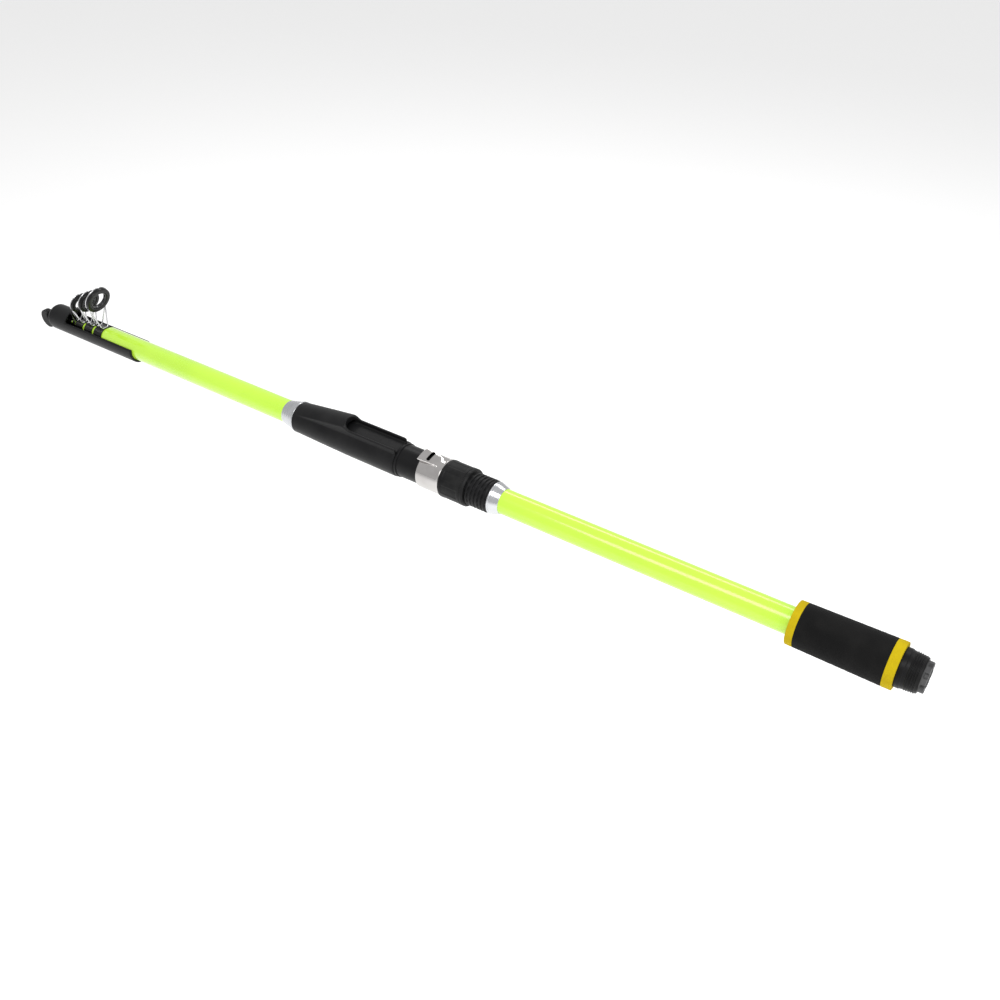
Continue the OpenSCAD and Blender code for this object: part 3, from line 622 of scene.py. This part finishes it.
def hoodGrid(h):
    # inside = the greater of the round bore and a ramped mouth, kept one wall below the outside
    t = np.sort(np.concatenate([np.arange(-48, 48.01, 0.4), np.arange(51, 310, 3.0)]) % 360)
    a = np.radians(t)
    x = np.concatenate([h["x"] + np.array([0, 0.15, 0.4, 0.8, 1.2, 1.7, 2.2]),
                        np.linspace(h["x"] + 3, h["front"] - 0.8, 88),
                        h["front"] - np.array([0.5, 0.25, 0.1, 0])])
    xi = np.concatenate([[h["front"]], np.linspace(h["front"] - 0.3, h["ramp"], 24), [h["x"] + 0.2, h["x"]]])
    run = np.clip((xi - h["ramp"]) / (h["front"] - h["ramp"]), 0, 1)
    rise = h["inner"] - 0.2 + (h["throat"] - h["inner"]) * run
    side = h["mouth"] / np.maximum(np.abs(np.sin(a)), 0.05)
    mouth = np.minimum(rise[:, None] / np.maximum(np.cos(a), 0.2), side)
    mouth = np.where(np.cos(a) > 0, mouth, 0)
    inner = np.maximum(h["inner"], np.minimum(mouth, hoodOutside(h, xi, a) - h["wall"]))
    return ringGrid(np.concatenate([x, xi]), np.vstack([hoodOutside(h, x, a), inner]), t)


def stadium(length, width, x0, steps=10):
    # slot outline, long across the rod
    q = np.linspace(0, math.pi, steps)
    r, c = width / 2, length / 2 - width / 2
    left = [(x0 + r * math.cos(a), c + r * math.sin(a)) for a in q]
    return left + [(x0 - r * math.cos(a), -c - r * math.sin(a)) for a in q]


def turnWithSeat(obj):
    # every point turned about the rod's axis by the seat's turn
    flat = np.empty(len(obj.data.vertices) * 3, dtype=np.float32)
    obj.data.vertices.foreach_get("co", flat)
    flat = turned(flat.reshape(-1, 3), seat["turn"]).astype(np.float32).ravel()
    obj.data.vertices.foreach_set("co", flat)


shell = makeObject("movingHood", [hoodGrid(hood)])
slotOutline = stadium(hood["slotLen"], hood["slotWidth"], hood["front"] - hood["slotBack"])
cut(shell, makeObject("slotCutter", [prism(slotOutline, 15, 30)]))
turnWithSeat(shell)
finish(shell, "mirrorSteel", "hood", ["moving_hood"], 32)
print("moving hood made")

body = dict(start=510, step=575, front=643, skirt=18.1, wallTop=20.1, wallHalf=10.3, archR=20.7, archZ=5.7,
            nose=16.2, floor=16.05, half=8, pocketHalf=7, bore=14.9, voxel=0.62, rounds=7)


def bodyGrid(b):
    # outside is the greater of the round skirt and a flat-sided top, both rounded
    t = np.sort(np.concatenate([np.arange(-60, 60, 1.0), np.arange(60, 300, 3.0)]) % 360)
    a = np.radians(t)
    x = np.concatenate([[b["start"], b["start"] + 0.5], np.linspace(b["start"] + 1.2, b["front"] - 1, 120),
                        [b["front"]]])
    skirt = np.interp(x, [b["start"], b["start"] + 1.5, b["step"], 612, b["front"]],
                      [17.6, b["skirt"], 17.8, 17.0, b["nose"]])
    run = np.clip((x - b["step"]) / (b["front"] - b["step"]), 0, 1)
    big, up = b["archR"] + (b["nose"] - b["archR"]) * run ** 0.9, b["archZ"] * (1 - run ** 1.15)
    reach = np.sqrt(np.maximum(big[:, None] ** 2 - (up[:, None] * np.sin(a)) ** 2, 1))
    arch = up[:, None] * np.cos(a) + reach
    flat = b["wallTop"] / np.maximum(np.cos(a), 0.2) * np.ones((len(x), 1))
    mixed = flat + (arch - flat) * smoothStep(x, b["step"] - 9, b["step"] - 1)[:, None]
    side = b["wallHalf"] / np.maximum(np.abs(np.sin(a)), 0.05)
    top = np.where(np.cos(a)[None] > 0.1, np.minimum(mixed, side), 0)
    top = top - 0.6 * (1 - smoothStep(x, b["start"], b["start"] + 2))[:, None]
    outer = np.maximum(skirt[:, None], top)
    inner = np.full((2, len(t)), b["bore"])
    return ringGrid(np.concatenate([x, [b["front"], b["start"]]]), np.vstack([outer, inner]), t)


def channelCutter(b):
    # open channel with a rounded front end, and a tapered pocket under the arch
    q = np.linspace(-math.pi / 2, math.pi / 2, 24)
    back = b["start"] - 5
    nose = [(b["step"] - 6 + 6 * math.cos(a), b["half"] * math.sin(a)) for a in q]
    scoop = [(back, -b["half"])] + nose + [(back, b["half"])]
    x0, x1 = b["step"] - 8, b["step"] + 14
    side = [(x0, b["floor"]), (x0, b["floor"] + 5), (x1, b["floor"] + 2.8), (x1, b["floor"])]
    n = len(side)
    pocket = np.array([(px, y, pz) for y in (-b["pocketHalf"], b["pocketHalf"]) for px, pz in side])
    faces = [tuple(range(n)), tuple(range(2 * n - 1, n - 1, -1))]
    faces += [(i, n + i, n + (i + 1) % n, (i + 1) % n) for i in range(n)]
    return prism(scoop, b["floor"], 40), (pocket, faces)


def outward(obj):
    # normals worked out again, so that every face of the closed shape looks out
    shape = bmesh.new()
    shape.from_mesh(obj.data)
    bmesh.ops.recalc_face_normals(shape, faces=shape.faces)
    shape.to_mesh(obj.data)
    shape.free()
    return obj


shell = makeObject("fixedHoodBody", [bodyGrid(body)])
channel, pocket = channelCutter(body)
cut(shell, outward(makeObject("channelCutter", [channel])), outward(makeObject("pocketCutter", [pocket])))
roundEdges(shell, body["voxel"], body["rounds"])
bake(shell)
turnWithSeat(shell)
finish(shell, "satinBlack", "butt_section", ["fixed_hood_body"], 0)
print("fixed hood made:", len(shell.data.polygons), "faces")

endRing = dict(back=507, front=509.6, inner=14.85, outer=17.3, edge=0.5)
x0, x1, r0, r1 = (endRing[key] for key in ("back", "front", "inner", "outer"))
x, r = rounded([(x0, r0), (x0, r1), (x1, r1), (x1, r0)], endRing["edge"], 5).T
ring = makeObject("seatEndRing", [ringGrid(x, r, angles(160))])
finish(ring, "satinBlack", "butt_section", ["seat_end_ring"])


# Guides: foot, ring, ceramic insert, hoop and wire frame for each of the four sections

guides = dict(lean=20, ring=[15.5, 13.5, 12, 5.2], hole=[9, 7.6, 6.4, 2.4], thick=[5, 4.6, 4.2, 2.4],
              height=[45.6, 38.5, 31, 14.5], ringX=[949, 967.5, 986, 1001], wire=[0.8, 0.8, 0.8, 0.52],
              footWall=[1.6, 1.6, 1.6, 1.04], bend=[2.2, 2.2, 2.2, 1.2], legRear=128, legFront=82, legIn=1.4,
              embed=0.7)
guideBody = ["section_two", "section_three", "section_four", "section_tip"]


def nodeBox(name):
    # low and high corners of a CAD node, in millimetres
    a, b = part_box(name)
    return np.array(a) / mm, np.array(b) / mm


def leaning(points, k):
    # leaned towards the butt about the ring's own centre, then moved to its place
    a = math.radians(guides["lean"])
    x, y, z = np.asarray(points, float).T
    along = x * math.cos(a) - z * math.sin(a) + guides["ringX"][k]
    return np.column_stack([along, y, z * math.cos(a) + x * math.sin(a) + guides["height"][k]])


def hoopPoint(k, degrees):
    # a point of the hoop's centre line: y = r sin t, z = r cos t, half an embed behind the ring's front face
    a, r = math.radians(degrees), guides["ring"][k] - guides["embed"]
    return leaning([[(guides["thick"][k] - guides["embed"]) / 2, math.sin(a) * r, math.cos(a) * r]], k)[0]


def rounded3(p, radius, steps=9):
    # each inner point becomes a quadratic curve that starts and ends at most radius away
    out = [p[0]]
    for a, b, c in zip(p[:-2], p[1:-1], p[2:]):
        u, v = a - b, c - b
        lu, lv = np.linalg.norm(u), np.linalg.norm(v)
        w = min(radius, 0.45 * lu, 0.45 * lv)
        s, e = b + u / lu * w, b + v / lv * w
        out += [(1 - t) ** 2 * s + 2 * t * (1 - t) * b + t * t * e for t in np.linspace(0, 1, steps)]
    return np.array(out + [p[-1]])


def bent(points, radius, step=0.6):
    # straight runs joined by quadratic bends, in even steps
    p = rounded3(np.array(points, float), radius)
    gaps = np.linalg.norm(np.diff(p, axis=0), axis=1)
    p = p[np.concatenate([[True], gaps > 1e-6])]
    s = np.concatenate([[0], np.cumsum(np.linalg.norm(np.diff(p, axis=0), axis=1))])
    q = np.linspace(0, s[-1], max(8, int(s[-1] / step)))
    return np.column_stack([np.interp(q, s, p[:, i]) for i in range(3)])


def footTube(x0, x1, outer, inner, pitch=0.42):
    # turns of thread under varnish, thin at both ends
    x = np.arange(x0 + 0.1, x1 - 0.05, pitch / 6)
    r = outer - 0.18 - 0.05 * np.cos(2 * np.pi * (x - x0) / pitch)
    r = r - 0.55 * (1 - smoothStep(x, x0 - 0.3, x0 + 1.6)) - 0.55 * smoothStep(x, x1 - 1.6, x1 + 0.3)
    points = np.vstack([[(x0, inner)], [(x0, r[0] - 0.15)], np.column_stack([x, r]), [(x1, r[-1] - 0.15)],
                        [(x1, inner)]])
    return ringGrid(points[:, 0], np.maximum(points[:, 1], inner), angles(120))


def leaningRing(profile, k):
    # a closed profile carried round the ring's own axis, then leaned
    x, r = profile
    p, f = ringGrid(x, r, angles(96))
    return leaning(p, k), f


def ringProfile(k):
    # rounded section, from the insert's seat out to the rim
    t, hole, rim = guides["thick"][k], guides["hole"][k], guides["ring"][k]
    wall = hole + 1.2 if k < 3 else hole
    return rounded([(-t / 2, wall), (-t / 2, rim - 0.2), (-t * 0.1, rim), (t * 0.1, rim), (t / 2, rim - 0.2),
                    (t / 2, wall)], t * 0.36, 8).T


def insertProfile(k):
    # narrower than the ring, with a rounded hole
    t, hole = guides["thick"][k], guides["hole"][k]
    return rounded([(-t * 0.4, hole + 1.15), (t * 0.4, hole + 1.15), (t * 0.4, hole + 0.25), (0, hole),
                    (-t * 0.4, hole + 0.25)], 0.7, 7).T


def hoopProfile(k):
    # the wire's circle, its centre one embed inside the rim and half an embed behind the front face
    c = np.linspace(0, 2 * math.pi, 16, endpoint=False)
    x = (guides["thick"][k] - guides["embed"]) / 2 + guides["wire"][k] * np.sin(c)
    return x, guides["ring"][k] - guides["embed"] + guides["wire"][k] * np.cos(c)


def frameWires(k, low, high, outer, inner):
    # rear and front legs, each up one side, across the foot and up the other, and a spine along the foot
    w = guides["wire"][k]
    sink = (outer - inner) - w - 0.12
    spread = math.acos(1 - sink / outer)
    rear, front = low[0] + guides["legIn"], high[0] - guides["legIn"]
    wires = []
    for x0, leg in ((rear, guides["legRear"]), (front, guides["legFront"])):
        left, right = ((x0, outer * math.sin(d), outer * math.cos(d)) for d in (-spread, spread))
        route = bent([hoopPoint(k, -leg), left, right, hoopPoint(k, leg)], guides["bend"][k])
        wires.append(sweep(route, w * 0.96))
    spine = np.linspace((rear, 0, outer - sink), (front, 0, outer - sink), 10)
    return wires + [sweep(spine, w * 0.75)]


def makeGuide(k):
    # one guide's pieces, all on the section that carries it
    name, owner = f"guide_{k + 1}_", guideBody[k]
    low, high = nodeBox(name + "foot")
    outer = high[1]
    inner = outer - guides["footWall"][k]
    foot = makeObject(f"guideFoot{k + 1}", [footTube(low[0], high[0], outer, inner)])
    finish(foot, "wrapEpoxy", owner, [name + "foot"], 0)
    ring = makeObject(f"guideRing{k + 1}", [leaningRing(ringProfile(k), k)])
    finish(ring, "ringBlack", owner, [name + "ring"], 40)
    if k < 3:
        insert = makeObject(f"guideInsert{k + 1}", [leaningRing(insertProfile(k), k)])
        finish(insert, "ceramic", owner, [name + "insert"], 40)
    hoop = makeObject(f"guideHoop{k + 1}", [leaningRing(hoopProfile(k), k)])
    finish(hoop, "wireSteel", owner, [name + "hoop"], 0)
    wires = makeObject(f"guideFrame{k + 1}", frameWires(k, low, high, outer, inner))
    finish(wires, "wireSteel", owner, [name + "frame"], 0)


for k in range(4):
    makeGuide(k)
print("guides made")


# Tip cover: the CAD shape with its edges rounded

cover = dict(voxel=0.62, rounds=6)
roundEdges(nodes["tip_cover"], cover["voxel"], cover["rounds"])
print("tip cover rounded")


# Camera, floor and light

view = dict(azimuth=214.67, elevation=37.06, distance=1.0065, lens=39.2, target=(0.396, 0.0006, 0.0))


def makeCamera(v):
    # camera place = target plus distance times the unit vector of the azimuth and elevation
    a, e = math.radians(v["azimuth"]), math.radians(v["elevation"])
    back = Vector((math.sin(a) * math.cos(e), -math.cos(a) * math.cos(e), math.sin(e)))
    data = bpy.data.cameras.new("viewCamera")
    data.lens = v["lens"]
    data.sensor_width = 36
    data.clip_start, data.clip_end = 0.01, 100
    cam = bpy.data.objects.new("viewCamera", data)
    bpy.context.scene.collection.objects.link(cam)
    cam.location = Vector(v["target"]) + back * v["distance"]
    cam.rotation_mode = "QUATERNION"
    cam.rotation_quaternion = (-back).to_track_quat("-Z", "Y")
    bpy.context.scene.camera = cam


studio = dict(floorDrop=0.30, floorSize=40, floorGrey=0.93, floorRough=0.9, floorGlow=0.22, world=0.62,
              aim=(0.5, 0, 0), key=19, rim=10, fill=4)


def makeLight(name, place, aim, power, size, sizeY):
    # soft panel of size by sizeY metres, facing from its place to its aim
    data = bpy.data.lights.new(name, "AREA")
    data.shape = "RECTANGLE"
    data.energy, data.size, data.size_y = power, size, sizeY
    lamp = bpy.data.objects.new(name, data)
    bpy.context.scene.collection.objects.link(lamp)
    lamp.location = place
    lamp.rotation_mode = "QUATERNION"
    lamp.rotation_quaternion = (Vector(aim) - Vector(place)).to_track_quat("-Z", "Y")


def makeFloor(s):
    # pale square, floorDrop below the rod's lowest point
    z = cadLow.z - s["floorDrop"]
    h = s["floorSize"] / 2
    mesh = bpy.data.meshes.new("floor")
    mesh.from_pydata([(-h, -h, z), (h, -h, z), (h, h, z), (-h, h, z)], [], [(0, 1, 2, 3)])
    floor = bpy.data.objects.new("floor", mesh)
    bpy.context.scene.collection.objects.link(floor)
    mat = bpy.data.materials.new("paleFloor")
    mat.use_nodes = True
    shader = mat.node_tree.nodes["Principled BSDF"]
    shader.inputs["Base Color"].default_value = (s["floorGrey"], s["floorGrey"], s["floorGrey"], 1)
    shader.inputs["Roughness"].default_value = s["floorRough"]
    shader.inputs["Emission Color"].default_value = (1, 1, 1, 1)
    shader.inputs["Emission Strength"].default_value = s["floorGlow"]
    mesh.materials.append(mat)


def makeStudio(s):
    # white world, pale floor and three soft panels
    world = bpy.data.worlds.new("studioWorld")
    world.use_nodes = True
    background = world.node_tree.nodes["Background"]
    background.inputs["Color"].default_value = (1, 1, 1, 1)
    background.inputs["Strength"].default_value = s["world"]
    bpy.context.scene.world = world
    bpy.context.scene.view_settings.view_transform = "Standard"
    makeFloor(s)
    makeLight("keyPanel", (0.1, 0.9, 1.6), s["aim"], s["key"], 1.8, 0.7)
    makeLight("rimPanel", (0.7, -1.1, 1.2), s["aim"], s["rim"], 2.0, 0.4)
    makeLight("fillPanel", (-0.9, 0.5, 0.7), s["aim"], s["fill"], 0.8, 0.8)


makeCamera(view)
makeStudio(studio)
print("camera and studio made")
